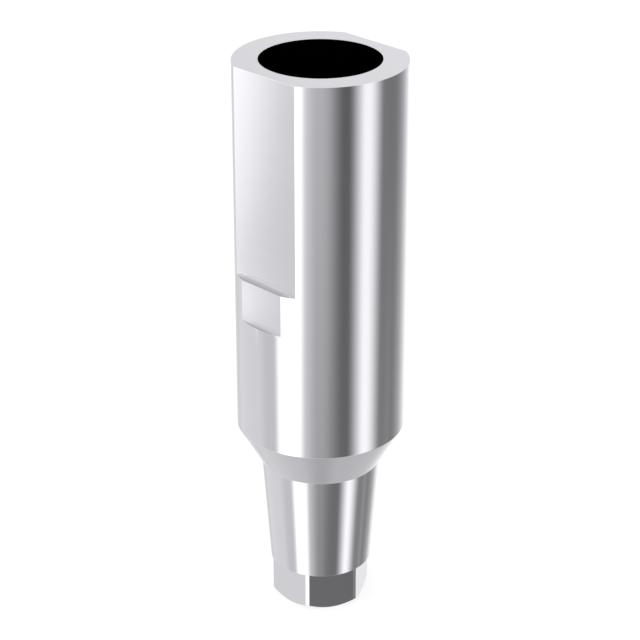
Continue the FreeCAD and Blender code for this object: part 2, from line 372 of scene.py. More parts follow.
for level in (SEAT_FOOT, 0.5 * (SEAT_FOOT + end_edge), end_edge + END_TOUCH + ABOVE_END_TOUCH):
    add_row(hexagon, level, 0.0, "milled")
down_cone, in_cone = np.sin(np.arctan(END_SLOPE)), np.cos(np.arctan(END_SLOPE))
for step in (0.0, 0.35, 0.65, 1.0):
    level = end_edge + END_TOUCH * ((1 - step) ** 2 - step ** 2 * down_cone)
    add_row(hexagon - END_TOUCH * step ** 2 * in_cone, level, 1.0, "turned")
add_row(hexagon - BELOW_END_TOUCH * END_TOUCH * in_cone,
        end_edge - BELOW_END_TOUCH * END_TOUCH * down_cone, 0.0, "turned")
add_profile([(HEXAGON_END + BESIDE_END, BESIDE_END * END_SLOPE), (HEXAGON_END, 0.0), (RELIEF_RADIUS, 0.0),
             (THREAD_BORE, RELIEF_TOP)], [0.0, SOFT_EDGE, SOFT_EDGE, 0.0], "faced")
print("rows down to the end face:", len(rows["height"]))

# %% Walk up the channel
STOP_ROUND, CHAMBER_ROUND = 0.02, 0.05
RIM_REACH, RIM_END = 3.0, 0.05
add_profile([(THREAD_BORE, RELIEF_TOP), (THREAD_BORE, SCREW_STOP), (CHAMBER_RADIUS, SCREW_STOP),
             (CHAMBER_RADIUS, CHAMBER_TOP), (BORE_RADIUS, BORE_FOOT), (BORE_RADIUS, POST_TOP - RIM_REACH),
             (BORE_RADIUS + RIM, POST_TOP - RIM_END)],
            [0.0, STOP_ROUND, STOP_ROUND, CHAMBER_ROUND, CHAMBER_ROUND, 0.0, 0.0], "channel")
print("rows in all:", len(rows["height"]))

# %% [markdown]
# ## From a grid to a closed mesh
# The grid still has doubled points: the whole ledge shrinks to a line where the flats run out, and the middle
# of a face turned to the axis is one point for every angle. Points in the same place are made one, and the
# faces that lose two corners go. What is left must be closed, which is easy to prove: every edge has exactly
# two faces. All of this works on whole arrays, so it takes a fraction of a second.

# %% Faces of a grid
def round_faces(row_count, column_count, closed):
    """Four corners for each face of a grid that goes round. Corner numbers are row times columns plus column,
    and the column after the last one is the first one. A closed grid joins its last row to its first one."""
    upper = np.arange(row_count if closed else row_count - 1)
    lower = (upper + 1) % row_count
    here = np.arange(column_count)
    there = (here + 1) % column_count
    corners = [(upper[:, None] * column_count + here), (lower[:, None] * column_count + here),
               (lower[:, None] * column_count + there), (upper[:, None] * column_count + there)]
    return np.stack(corners, axis=-1).reshape(-1, 4)


def enclosed_volume(points, corners):
    """A sixth of the sum of the boxes that the origin spans with each triangle, in the units of the points.
    It is above zero where the faces point outwards."""
    first, second, third, fourth = (points[corners[:, k]] for k in range(4))
    halves = [np.einsum("ij,ij->", first, np.cross(second, third)),
              np.einsum("ij,ij->", first, np.cross(third, fourth))]
    return (halves[0] + halves[1]) / 6.0


print("faces of a grid of 3 rows and 8 columns:", len(round_faces(3, 8, closed=False)))

# %% Make the mesh
DECIMALS = 6
SHARP_FROM = 26.0


def skin(name, points, corners, finish, edge, materials):
    """Makes one closed mesh object from points in millimetres and faces of four corners. Doubled points
    become one, faces with fewer than three different corners go, and the faces are turned round if the
    volume is below zero."""
    rounded = np.round(points, DECIMALS)
    kept, first_seen, new_number = np.unique(rounded, axis=0, return_index=True, return_inverse=True)
    corners = new_number.reshape(-1)[corners]
    if enclosed_volume(kept, corners) < 0:
        corners = corners[:, ::-1]
    same_as_next = corners == np.roll(corners, -1, axis=1)
    folded = (corners[:, 0] == corners[:, 2]) | (corners[:, 1] == corners[:, 3])
    whole = ~same_as_next.any(axis=1) & ~folded
    three = same_as_next.sum(axis=1) == 1
    triangles = corners[three][~same_as_next[three]].reshape(-1, 3)
    proper = (triangles != np.roll(triangles, -1, axis=1)).all(axis=1)
    faces = corners[whole].tolist() + triangles[proper].tolist()
    face_finish = np.concatenate([finish[whole], finish[three][proper]])
    mesh = bpy.data.meshes.new(name)
    mesh.from_pydata((kept * MILLIMETRE).tolist(), [], faces)
    mesh.polygons.foreach_set("material_index", face_finish.astype(np.int32))
    # Each point's painted highlight, which the metal's colour reads.
    edge_mark = mesh.attributes.new("edge", "FLOAT", "POINT")
    edge_mark.data.foreach_set("value", edge[first_seen].astype(np.float32))
    mesh.shade_smooth()
    mesh.set_sharp_from_angle(angle=np.radians(SHARP_FROM))
    mesh.update()
    for material in materials:
        mesh.materials.append(material)
    piece = bpy.data.objects.new(name, mesh)
    bpy.context.scene.collection.objects.link(piece)
    uses = np.zeros(len(mesh.edges), np.int32)
    side_edges = np.zeros(len(mesh.loops), np.int32)
    mesh.loops.foreach_get("edge_index", side_edges)
    np.add.at(uses, side_edges, 1)
    print(name, "faces:", len(faces), "volume in mm3:", round(abs(enclosed_volume(kept, corners)), 3),
          "edges without two faces:", int((uses != 2).sum()))
    return piece


print("edges are sharp from a turn of", SHARP_FROM, "degrees")

# %% [markdown]
# ## The body's finishes
# One bar of titanium shows four finishes. The turned sides carry the fine rings of the tool, the milled flats
# and the hexagon carry shallow arcs of the cutter, the faces square to the axis carry rings about the middle,
# and the channel is drilled and duller, and painted dark for the shade deep inside it. Each is a material of
# its own, but what they share is built once as a node group.

# %% Helpers for nodes
def add_node(tree, kind, column, line, **settings):
    """Adds a node at a place in the editor that is counted in columns and lines."""
    node = tree.nodes.new(kind)
    node.location = (210 * column, -190 * line)
    for name, value in settings.items():
        setattr(node, name, value)
    return node


def feed(tree, node, values):
    """Sets inputs of a node, by their names or numbers. Each value is a number, a colour or the output of
    another node. Returns the node."""
    for name, value in values.items():
        if isinstance(value, bpy.types.NodeSocket):
            tree.links.new(value, node.inputs[name])
        else:
            node.inputs[name].default_value = value
    return node


def calculate(tree, operation, column, line, *values):
    """Adds a Math node with these values as its inputs, in order. Returns the result's output."""
    node = add_node(tree, "ShaderNodeMath", column, line, operation=operation)
    return feed(tree, node, dict(enumerate(values))).outputs[0]


def new_group(name, inputs, outputs):
    """A shader node group with named sockets. Returns the group, its input node and its output node."""
    group = bpy.data.node_groups.new(name, "ShaderNodeTree")
    for label, kind, value in inputs:
        socket = group.interface.new_socket(label, in_out="INPUT", socket_type=kind)
        if value is not None:
            socket.default_value = value
    for label, kind in outputs:
        group.interface.new_socket(label, in_out="OUTPUT", socket_type=kind)
    return group, add_node(group, "NodeGroupInput", 0, 0), add_node(group, "NodeGroupOutput", 9, 0)


def use_group(tree, group, column, line, **values):
    """Places a group in a tree and feeds its inputs. An underscore in a name stands for a space."""
    node = add_node(tree, "ShaderNodeGroup", column, line, node_tree=group)
    return feed(tree, node, {name.replace("_", " "): value for name, value in values.items()})


print("helpers for nodes: add_node, feed, calculate, new_group, use_group")

# %% [markdown]
# ### Marks of the tool
# A lathe leaves one fine groove for each turn of the work, so its marks are even, and chips and shake make
# them wander a little. An even sine and a noise of one dimension, mixed, give that. The group is only told
# how far along the feed each point is, so the same marks become rings on a side, circles on a face or arcs on
# a flat.

# %% Node group for tool marks
ONE_TURN = 6.28319
tool_marks, marks_in, marks_out = new_group(
    "Tool marks",
    [("Along", "NodeSocketFloat", 0.0), ("Spacing", "NodeSocketFloat", 0.00006),
     ("Wander", "NodeSocketFloat", 0.5)],
    [("Height", "NodeSocketFloat")])
step_count = calculate(tool_marks, "DIVIDE", 1, 0, marks_in.outputs["Along"], marks_in.outputs["Spacing"])
wave = calculate(tool_marks, "SINE", 3, 0, calculate(tool_marks, "MULTIPLY", 2, 0, step_count, ONE_TURN))
even_marks = calculate(tool_marks, "MULTIPLY_ADD", 4, 0, wave, 0.5, 0.5)
uneven = feed(tool_marks, add_node(tool_marks, "ShaderNodeTexNoise", 3, 1, noise_dimensions="1D"),
              {"W": step_count, "Scale": 0.43, "Detail": 4.0, "Roughness": 0.65})
blend_marks = feed(tool_marks, add_node(tool_marks, "ShaderNodeMix", 6, 0, data_type="FLOAT"),
                   {0: marks_in.outputs["Wander"], 2: even_marks, 3: uneven.outputs["Fac"]})
feed(tool_marks, marks_out, {"Height": blend_marks.outputs[0]})
print("sockets of the tool marks:", len(tool_marks.interface.items_tree))

# %% [markdown]
# ### The grey of the metal
# Bare titanium is a middle grey with a breath of blue. It is never quite even: the thin oxide and the last
# wipe leave soft clouds. The bottoms of the marks get a painted shade and their crests a painted light, and
# the soft edges, the ledges and the short flat get a painted highlight from the mesh's attribute. The group
# gives the colour and the roughness for a place, and the shader itself stays in each material.

# %% Node group for bare titanium
# How much the painted highlight of a point brightens the metal's colour.
HIGHLIGHT_BRIGHTER = 0.12
bare_metal, metal_in, metal_out = new_group(
    "Bare titanium",
    [("Position", "NodeSocketVector", None), ("Marks", "NodeSocketFloat", 0.5),
     ("Tone", "NodeSocketColor", (0.6, 0.6, 0.6, 1.0)), ("Dullness", "NodeSocketFloat", 0.12),
     ("Clouds", "NodeSocketFloat", 0.02), ("Mark shade", "NodeSocketFloat", 0.02)],
    [("Colour", "NodeSocketColor"), ("Roughness", "NodeSocketFloat")])
cloud_share, mark_share = metal_in.outputs["Clouds"], metal_in.outputs["Mark shade"]
clouds = feed(bare_metal, add_node(bare_metal, "ShaderNodeTexNoise", 1, 1),
              {"Vector": metal_in.outputs["Position"], "Scale": 700.0, "Detail": 3.0})
cloud_swing = calculate(bare_metal, "SUBTRACT", 2, 1, clouds.outputs["Fac"], 0.5)
mark_swing = calculate(bare_metal, "SUBTRACT", 2, 2, metal_in.outputs["Marks"], 0.5)
# Reads the mesh's painted highlight.
broken_edge = add_node(bare_metal, "ShaderNodeAttribute", 1, 3, attribute_name="edge")
shade = calculate(bare_metal, "MULTIPLY_ADD", 4, 1, cloud_swing, cloud_share, 1.0)
# Painted shade in the bottoms of the tool marks and painted light on their crests; the same share also sways
# the roughness.
shade = calculate(bare_metal, "MULTIPLY_ADD", 5, 1, mark_swing, mark_share, shade)
shade = calculate(bare_metal, "MULTIPLY_ADD", 6, 1, broken_edge.outputs["Fac"], HIGHLIGHT_BRIGHTER, shade)
toned = feed(bare_metal, add_node(bare_metal, "ShaderNodeVectorMath", 7, 0, operation="SCALE"),
             {0: metal_in.outputs["Tone"], "Scale": shade})
dull = calculate(bare_metal, "MULTIPLY_ADD", 4, 3, cloud_swing, cloud_share, metal_in.outputs["Dullness"])
dull = calculate(bare_metal, "MULTIPLY_ADD", 5, 3, mark_swing, mark_share, dull)
feed(bare_metal, metal_out, {"Colour": toned.outputs[0], "Roughness": dull})
print("sockets of the bare titanium:", len(bare_metal.interface.items_tree))

# %% [markdown]
# ### How far along the feed
# For the sides the feed runs along the axis, so the height itself is the measure. For a face it is the
# distance from the axis. An end mill that moves up a flat leaves arcs of its own radius, so there the measure
# is the height less the rise of such an arc. All of them read Object coordinates, which is safe here because
# no piece is ever turned.

# %% Measures along the feed
CUTTER_RADIUS = 0.003


def along_axis(tree, place):
    """The height Z of each point."""
    return feed(tree, add_node(tree, "ShaderNodeSeparateXYZ", -4, 1), {0: place}).outputs["Z"]


def along_radius(tree, place):
    """The distance from the axis: the root of X squared plus Y squared."""
    split = feed(tree, add_node(tree, "ShaderNodeSeparateXYZ", -6, 1), {0: place})
    across, deep = split.outputs["X"], split.outputs["Y"]
    square = calculate(tree, "MULTIPLY", -5, 1, across, across)
    return calculate(tree, "SQRT", -3, 1, calculate(tree, "MULTIPLY_ADD", -4, 1, deep, deep, square))


def along_arcs(tree, place):
    """The height less the root of the cutter's radius squared less X squared, which is the same all along one
    arc."""
    split = feed(tree, add_node(tree, "ShaderNodeSeparateXYZ", -7, 1), {0: place})
    square = calculate(tree, "MULTIPLY", -6, 1, split.outputs["X"], split.outputs["X"])
    under = calculate(tree, "SUBTRACT", -5, 1, CUTTER_RADIUS ** 2, square)
    return calculate(tree, "SUBTRACT", -3, 1, split.outputs["Z"], calculate(tree, "SQRT", -4, 1, under))


print("cutter's radius in mm:", CUTTER_RADIUS / MILLIMETRE)

# %% Materials for the metal
def metal(name, along, tone, dullness, spacing, wander, depth, clouds=0.02, mark_shade=0.02):
    """Bare metal with tool marks. Spacing and depth of the marks are in metres, and the depth goes to a Bump
    node."""
    material = bpy.data.materials.new(name)
    material.use_nodes = True
    tree = material.node_tree
    tree.nodes.clear()
    place = add_node(tree, "ShaderNodeTexCoord", -8, 0).outputs["Object"]
    marks = use_group(tree, tool_marks, -2, 1, Along=along(tree, place), Spacing=spacing, Wander=wander)
    finish = use_group(tree, bare_metal, 0, 0, Position=place, Marks=marks.outputs["Height"], Tone=tone,
                       Dullness=dullness, Clouds=clouds, Mark_shade=mark_shade)
    bump = feed(tree, add_node(tree, "ShaderNodeBump", 0, 2),
                {"Distance": depth, "Height": marks.outputs["Height"]})
    shader = feed(tree, add_node(tree, "ShaderNodeBsdfPrincipled", 2, 0),
                  {"Base Color": finish.outputs["Colour"], "Metallic": 1.0,
                   "Roughness": finish.outputs["Roughness"], "Normal": bump.outputs["Normal"]})
    feed(tree, add_node(tree, "ShaderNodeOutputMaterial", 4, 0), {"Surface": shader.outputs[0]})
    return material


POLISHED = (0.611, 0.606, 0.638, 1.0)
# The channel's grey is painted dark for the shade deep inside it.
CHANNEL_PAINTED_DARK = (0.16, 0.16, 0.165, 1.0)
turned_metal = metal("turned titanium", along_axis, POLISHED,
                     dullness=0.085, spacing=0.00007, wander=0.5, depth=1.3e-7)
milled_metal = metal("milled titanium", along_arcs, POLISHED,
                     dullness=0.07, spacing=0.00011, wander=0.6, depth=0.6e-7)
faced_metal = metal("faced titanium", along_radius, POLISHED,
                    dullness=0.13, spacing=0.00006, wander=0.5, depth=2.0e-7)
dark_channel_metal = metal("titanium painted dark in the channel", along_axis, CHANNEL_PAINTED_DARK,
                      dullness=0.1, spacing=0.00012, wander=0.7, depth=2.0e-7)
print("materials:", [material.name for material in bpy.data.materials])

# %% [markdown]
# ## The body as one piece
# Distance, height and angle become points: X is the distance times the cosine of the angle, and Y times the
# sine. Each face takes the finish of its band. Where a band of the turned side runs over a flat, the outline
# is nearer to the axis than the circle, and that is how the milled faces are found.

# %% The scan body
distance, height = np.array(rows["distance"]), np.array(rows["height"])
grid = np.stack([distance * np.cos(angle), distance * np.sin(angle), height], axis=-1)
body_corners = round_faces(len(distance), len(angle), closed=True)
band_finish = np.repeat(np.array(rows["finish"]), len(angle)).reshape(distance.shape)
next_column = np.roll(distance, -1, axis=1)
between_ends = (height > SHORT_FLAT_FOOT + BESIDE_LEDGE) & (height < POST_TOP - BESIDE_LEDGE)
on_side = between_ends & (band_finish == FINISHES.index("turned"))
on_flat = on_side & (np.maximum(distance, next_column) < POST_RADIUS - ON_ROUND)
band_finish = np.where(on_flat, FINISHES.index("milled"), band_finish)
body = skin("scan_body_skin", grid.reshape(-1, 3), body_corners, band_finish.ravel(),
            np.array(rows["edge"]).ravel(), [turned_metal, milled_metal, faced_metal, dark_channel_metal])
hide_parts("scan_body")
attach(body, "scan_post")

# %% [markdown]
# ## The screw's thread
# A thread is one ridge that climbs as it goes round. If the rows of the grid stayed level, the ridge would
# cross them at a slant and come out jagged. So the rows climb too: each row rises by one pitch in a turn, and
# behind the last angle it joins the row that lies one pitch further on. The crest is then an exact line of
# the grid.

# %% Sizes of the screw, in millimetres
SCREW_TIP = 0.20
THREAD_TOP = 3.20
THREAD_RADIUS = 0.90
THREAD_CORE = 0.69
PITCH = 0.35
NECK_RADIUS = 0.65
HEAD_FOOT = 7.20
HEAD_TOP = 9.20
HEAD_RADIUS = 1.15
SOCKET_HALF = 0.625
SOCKET_FOOT = 8.00
SINK_RADIUS = 0.74
screw_angle = np.radians(np.arange(0.0, 360.0, 2.0))
per_turn = len(screw_angle)
print("turns of thread:", round((THREAD_TOP - SCREW_TIP) / PITCH, 1))

# %% The thread as a climbing grid
def thread_grid():
    """Height is the pitch times the sum of the row's place in the profile and the share of a turn, held
    between the thread's two ends. Distance is the thread's profile, but never more than the end cones leave
    of it."""
    place = np.array([0.0, 0.0625, 0.125, 0.22, 0.333, 0.4375, 0.5625, 0.667, 0.78, 0.89])
    profile = np.array([1.0, 1.0, 1.0, 0.72, 0.30, 0.0, 0.0, 0.0, 0.36, 0.78])
    turns = int(np.ceil((THREAD_TOP - SCREW_TIP) / PITCH)) + 2
    row_place = (np.arange(turns)[:, None] - 1 + place[None, :]).ravel()
    climbing = SCREW_TIP + PITCH * (row_place[:, None] + screw_angle[None, :] / (2 * np.pi))
    level = np.clip(climbing, SCREW_TIP, THREAD_TOP)
    ridge = THREAD_CORE + (THREAD_RADIUS - THREAD_CORE) * np.tile(profile, turns)[:, None]
    end_cones = NECK_RADIUS + np.minimum(level - SCREW_TIP, THREAD_TOP - level)
    reach = np.minimum(ridge, end_cones)
    points = np.stack([reach * np.cos(screw_angle), reach * np.sin(screw_angle), level], axis=-1)
    corners = round_faces(len(level), per_turn, closed=False).reshape(-1, per_turn, 4)
    start_of_last_row = (len(level) - 1) * per_turn
    corners[:, -1, 2:] = np.minimum(corners[:, -1, 2:] + len(place) * per_turn, start_of_last_row)
    return points.reshape(-1, 3), corners.reshape(-1, 4)


thread_points, thread_corners = thread_grid()
print("points on the thread:", len(thread_points))

# %% [markdown]
# ## Head, neck and socket
# The rest of the screw is turned, apart from the hexagonal socket that the driver turns. The socket is a
# hexagon in the same sense as the one on the body: a distance that is divided by the cosine of the angle from
# the nearest side. It ends in the point that the drill left before the hexagon was pressed in.
# The head's underside is drawn five thousandths of a millimetre high, so that it never lies inside the seat's
# face.

# %% Rows of the screw above and below its thread
SEAT_GAP = 0.005
NECK_FLARE = 0.1
HEAD_CHAMFER = 0.15
BESIDE_SINK = 0.015
SINK_BREAK_ABOVE, SINK_BREAK_BELOW = 0.004, 0.003
DRILL_RADIUS, DRILL_POINT = 0.6, 0.35


def level_rows(distances, heights):
    """Points of level rows, with one distance and one height in each row, or one for each angle."""
    distances = np.stack([np.broadcast_to(d, per_turn) for d in distances])
    heights = np.stack([np.broadcast_to(h, per_turn) for h in heights])
    return np.stack([distances * np.cos(screw_angle), distances * np.sin(screw_angle), heights], axis=-1)


tip = level_rows([0.0, 0.5 * NECK_RADIUS, NECK_RADIUS], [SCREW_TIP] * 3)
upper, upper_edge = soft_profile(
    [(NECK_RADIUS, THREAD_TOP), (NECK_RADIUS, HEAD_FOOT - NECK_FLARE),
     (NECK_RADIUS + NECK_FLARE, HEAD_FOOT + SEAT_GAP), (HEAD_RADIUS, HEAD_FOOT + SEAT_GAP),
     (HEAD_RADIUS, HEAD_TOP - HEAD_CHAMFER), (HEAD_RADIUS - HEAD_CHAMFER, HEAD_TOP),
     (SINK_RADIUS + BESIDE_SINK, HEAD_TOP)],
    [0.0, 0.05, 0.03, 0.03, 0.02, 0.02, 0.0])
off_side = beside(screw_angle[:, None], np.radians(hexagon_normals)[None, :]).min(axis=1)
socket = SOCKET_HALF / np.cos(off_side)
sink_foot = HEAD_TOP - (SINK_RADIUS - socket)
lower_row = [SINK_RADIUS, socket + SINK_BREAK_ABOVE, socket, socket, socket, DRILL_RADIUS, 0.0]
lower_level = [HEAD_TOP, sink_foot + SINK_BREAK_ABOVE, sink_foot - SINK_BREAK_BELOW, sink_foot - BESIDE_SINK,
               SOCKET_FOOT, SOCKET_FOOT, SOCKET_FOOT - DRILL_POINT]
head = level_rows(list(upper[:, 0]) + lower_row, list(upper[:, 1]) + lower_level)
print("rows of the head and neck:", len(head))

# %% [markdown]
# ## The screw's finish
# A retaining screw is turned from the same metal but left as it comes from the machine: a shade darker and
# duller than the polished post, with plain tool marks. The pressed socket is duller still and a darker grey.

# %% The retaining screw
screw_metal = metal("plain titanium screw", along_axis, (0.54, 0.54, 0.555, 1.0),
                    dullness=0.24, spacing=0.00009, wander=0.4, depth=4.0e-7, clouds=0.05)
socket_metal = metal("pressed socket", along_radius, (0.40, 0.40, 0.41, 1.0),
                     dullness=0.32, spacing=0.00008, wander=0.7, depth=4.0e-7, clouds=0.06)
parts = [(tip.reshape(-1, 3), round_faces(len(tip), per_turn, closed=False)),
         (thread_points, thread_corners),
         (head.reshape(-1, 3), round_faces(len(head), per_turn, closed=False))]
starts = np.cumsum([0] + [len(points) for points, corners in parts])
screw_points = np.concatenate([points for points, corners in parts])
screw_corners = np.concatenate([corners + start for (points, corners), start in zip(parts, starts)])
in_socket = np.zeros(len(screw_corners), int)
in_socket[-(len(lower_row) - 2) * per_turn:] = 1
# Painted highlight on the soft arcs of the neck and head.
screw_edge = np.zeros(len(screw_points))
screw_edge[starts[2]:starts[2] + len(upper) * per_turn] = np.repeat(upper_edge, per_turn)
screw = skin("retaining_screw_skin", screw_points, screw_corners, in_socket, screw_edge,
             [screw_metal, socket_metal])
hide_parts("retaining_screw")
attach(screw, "screw")

# %% [markdown]
# ## The surround
# Polished metal has no look of its own: it shows what stands round it. A small shiny part is photographed in
# a white tent, with bright strips where a highlight should run and dark cards where the form should turn
# away. The tent is worked out from the direction alone. Each strip or card is a band of azimuth with soft
# borders that adds light or takes it away, so it costs no lamp object and no noise.

# %% Node group for one strip
strip_light, strip_in, strip_out = new_group(
    "Strip of the tent",
    [("Azimuth", "NodeSocketFloat", 0.0), ("Middle", "NodeSocketFloat", 0.0),
     ("Half width", "NodeSocketFloat", 10.0), ("Soft border", "NodeSocketFloat", 5.0),
     ("Light", "NodeSocketFloat", 1.0), ("Before", "NodeSocketFloat", 0.0)],
    [("Light", "NodeSocketFloat")])
half_width = strip_in.outputs["Half width"]
away_from_middle = calculate(strip_light, "SUBTRACT", 1, 0, strip_in.outputs["Azimuth"],
                             strip_in.outputs["Middle"])
way_round = calculate(strip_light, "WRAP", 2, 0, away_from_middle, 180.0, -180.0)
degrees_off = calculate(strip_light, "ABSOLUTE", 3, 0, way_round)
half_border = calculate(strip_light, "MULTIPLY", 3, 2, strip_in.outputs["Soft border"], 0.5)
fade = add_node(strip_light, "ShaderNodeMapRange", 6, 0, interpolation_type="SMOOTHSTEP")
feed(strip_light, fade, {
    "Value": degrees_off,
    "From Min": calculate(strip_light, "SUBTRACT", 4, 2, half_width, half_border),
    "From Max": calculate(strip_light, "ADD", 4, 3, half_width, half_border),
    "To Min": 1.0,
    "To Max": 0.0,
})
added = calculate(strip_light, "MULTIPLY_ADD", 8, 0, fade.outputs["Result"], strip_in.outputs["Light"],
                  strip_in.outputs["Before"])
feed(strip_light, strip_out, {"Light": added})
print("sockets of a strip:", len(strip_light.interface.items_tree))

# %% [markdown]
# ### Directions
# A direction is two angles: the azimuth, from the front flat towards +X, and the rise above the horizon. Both
# follow from the direction's X, Y and Z, and are in degrees.

# %% Azimuth and rise of a direction
world = bpy.data.worlds.new("white tent")
world.use_nodes = True
bpy.context.scene.world = world
tent = world.node_tree
tent.nodes.clear()
towards = add_node(tent, "ShaderNodeTexCoord", -8, 0).outputs["Generated"]
split_way = feed(tent, add_node(tent, "ShaderNodeSeparateXYZ", -7, 3), {0: towards})
rise = calculate(tent, "DEGREES", -5, 3, calculate(tent, "ARCSINE", -6, 3, split_way.outputs["Z"]))
forward = calculate(tent, "MULTIPLY", -7, 1, split_way.outputs["Y"], -1.0)
way = calculate(tent, "ARCTAN2", -6, 0, split_way.outputs["X"], forward)
azimuth = calculate(tent, "DEGREES", -5, 0, way)


def ramp(value, start, end, low_value, high_value, column, line, shape="SMOOTHSTEP"):
    """A step from one value to another between two heights of the sky, in degrees. It is smooth, or straight
    with the shape LINEAR."""
    node = add_node(tent, "ShaderNodeMapRange", column, line, interpolation_type=shape)
    feed(tent, node, {"Value": value, "From Min": start, "From Max": end, "To Min": low_value,
                      "To Max": high_value})
    return node.outputs["Result"]


print("world:", world.name)

# %% [markdown]
# ### Strips and cards
# The strips stand all round the part, from the table to the top. Some get wider or brighter upwards, so such
# a value is a pair of numbers: the one near the table, 42 degrees down, and the one 19 degrees down. A
# straight ramp leads from the one to the other.

# %% Strips from the table to the top
# Azimuth of the middle, half width and soft border, all in degrees, and the light that is added.
STRIPS = {
    "main strip": ((2.1, 2.8), (14.4, 18.8), 13.8, 1.00),
    "card beside it": (-25.4, 14.0, 18.0, -0.155),
    "second strip": ((106.9, 109.2), (12.7, 14.6), 27.0, (1.26, 1.23)),
    "wide grey card": ((111.5, 109.8), 80.3, 25.7, -0.43),
    "black card": (117.4, 56.8, 33.7, (-0.33, -0.41)),
    "front of the tent": (37.5, 28.0, 25.0, (-0.19, 0.14)),
    "low fill": (149.6, 5.0, 7.0, (0.12, -0.02)),
    "thin fill": (146.3, 46.0, 8.5, 0.11),
    "far wall": (210.7, 14.2, 15.0, (-0.04, 0.18)),
    "far card": (-109.0, 10.5, 21.0, -0.185),
}
NEAR_TABLE, HIGHER_UP = -42.0, -19.0
TENT_LEVEL = 1.01


def strip_value(value, column, line):
    """The number itself, or for a pair of numbers the straight ramp that leads from the one to the other."""
    if isinstance(value, tuple):
        return ramp(rise, NEAR_TABLE, HIGHER_UP, *value, column, line, "LINEAR")
    return value


light = TENT_LEVEL
for number, (name, numbers) in enumerate(STRIPS.items()):
    middle, half, border, strength = [
        strip_value(value, number - 4, line + 3) for line, value in enumerate(numbers)]
    placed = use_group(tent, strip_light, number - 4, 0, Azimuth=azimuth, Middle=middle, Half_width=half,
                       Soft_border=border, Light=strength, Before=light)
    placed.label = name
    light = placed.outputs["Light"]
print("strips and cards all round:", len(STRIPS))

# %% [markdown]
# ### Table, upper tent and roof
# Near the ground all strips fade into the pale table, which is darkest straight under the part. High up they
# fade into the tent's own cloth and into the roof. Table and cloth are a little brighter on the side of the
# window, which the product of the direction with the way to the window gives.

# %% Layers of the tent
TO_WINDOW = (-1.0, -0.8, 0.0)
TABLE_SWING, UPPER_SWING = 0.14, 0.13
UPPER_LEVEL, ROOF_LEVEL = 0.963, 1.1
under_part = ramp(rise, -90.0, -76.0, 0.60, 0.76, 7, 3)
table_light = calculate(tent, "ADD", 8, 3, under_part, ramp(rise, -76.0, -55.0, 0.0, 0.06, 7, 4))
to_window = feed(tent, add_node(tent, "ShaderNodeVectorMath", 7, 5, operation="DOT_PRODUCT"),
                 {0: towards, 1: TO_WINDOW})
window_side = to_window.outputs["Value"]
table_light = calculate(tent, "MULTIPLY_ADD", 9, 3, window_side, TABLE_SWING, table_light)
upper_light = calculate(tent, "MULTIPLY_ADD", 9, 5, window_side, UPPER_SWING, UPPER_LEVEL)
LAYERS = {
    "table": (ramp(rise, -58.0, -40.0, 1.0, 0.0, 5, 7), table_light),
    "upper tent": (ramp(rise, 12.0, 24.0, 0.0, 0.7, 5, 8), upper_light),
    "roof": (ramp(rise, 35.0, 65.0, 0.0, 1.0, 5, 9), ROOF_LEVEL),
}
for number, (name, (share, other)) in enumerate(LAYERS.items()):
    blend = add_node(tent, "ShaderNodeMix", 6 + number, 3, data_type="FLOAT", label=name)
    light = feed(tent, blend, {0: share, 2: light, 3: other}).outputs[0]
print("layers of the tent:", list(LAYERS))

# %% [markdown]
# ### The window and the cards that end
# A flat is a plane mirror, and the camera sees only two or three degrees of the tent in it. One narrow window
# lights both flats, and its soft side lets them darken from left to right. It leans, and it bends where the
# short flat begins, so its middle moves with the rise. The window and a few cards cover only a part of the
# height: the share in which each is open is one ramp up times one ramp down.

# %% Panes
WINDOW_MIDDLE, WINDOW_LEAN = -45.45, 0.17
# Where each bend begins and ends, and how far the window's middle is moved below it and above it.
WINDOW_BENDS = [(-24.5, -24.1, 0.63, 0.0), (-23.4, -21.2, -0.18, 0.0), (-17.8, -16.5, 0.0, 2.0)]
window_middle = calculate(tent, "MULTIPLY_ADD", 6, -3, rise, WINDOW_LEAN, WINDOW_MIDDLE)
for number, bend in enumerate(WINDOW_BENDS):
    moved = ramp(rise, *bend, 6, -4 - number)
    window_middle = calculate(tent, "ADD", 7, -3 - number, window_middle, moved)
# Middle, half width, soft border and light as above, then the heights where each begins and where it ends.
PANES = {
    "window": (window_middle, 1.3, 2.6, 0.80, (-25.62, -25.38), (-8.0, 0.0)),
    "window's frame": (-45.3, 1.7, 1.2, -0.08, (-25.65, -25.25), (-17.0, -10.0)),
    "above the window": (-41.0, 7.0, 8.0, 0.05, (-18.0, -12.0), (0.0, 12.0)),
    "window's sill": (window_middle, 1.5, 2.8, -0.30, (-26.6, -25.8), (-25.78, -25.55)),
    "card high up": (-80.0, 40.0, 20.0, -0.30, (19.0, 42.0), (60.0, 78.0)),
    "low reflector": (194.5, 2.0, 2.0, 0.20, (-34.0, -33.2), (-31.6, -30.6)),
}
for number, (name, (middle, half, border, strength, begins, ends)) in enumerate(PANES.items()):
    line = -3 - 3 * number
    pane = use_group(tent, strip_light, 8, line, Azimuth=azimuth, Middle=middle, Half_width=half,
                     Soft_border=border, Light=strength)
    pane.label = name
    opens = ramp(rise, *begins, 0.0, 1.0, 8, line - 1)
    closes = ramp(rise, *ends, 1.0, 0.0, 8, line - 2)
    open_share = calculate(tent, "MULTIPLY", 9, line - 1, opens, closes)
    light = calculate(tent, "MULTIPLY_ADD", 10 + number, line, pane.outputs["Light"], open_share, light)
print("strips and cards in the tent:", len(STRIPS) + len(PANES))

# %% [markdown]
# ### What the camera sees
# The camera sees plain white. Everything else sees the tent, so the background stays even while the metal
# keeps its reflections.

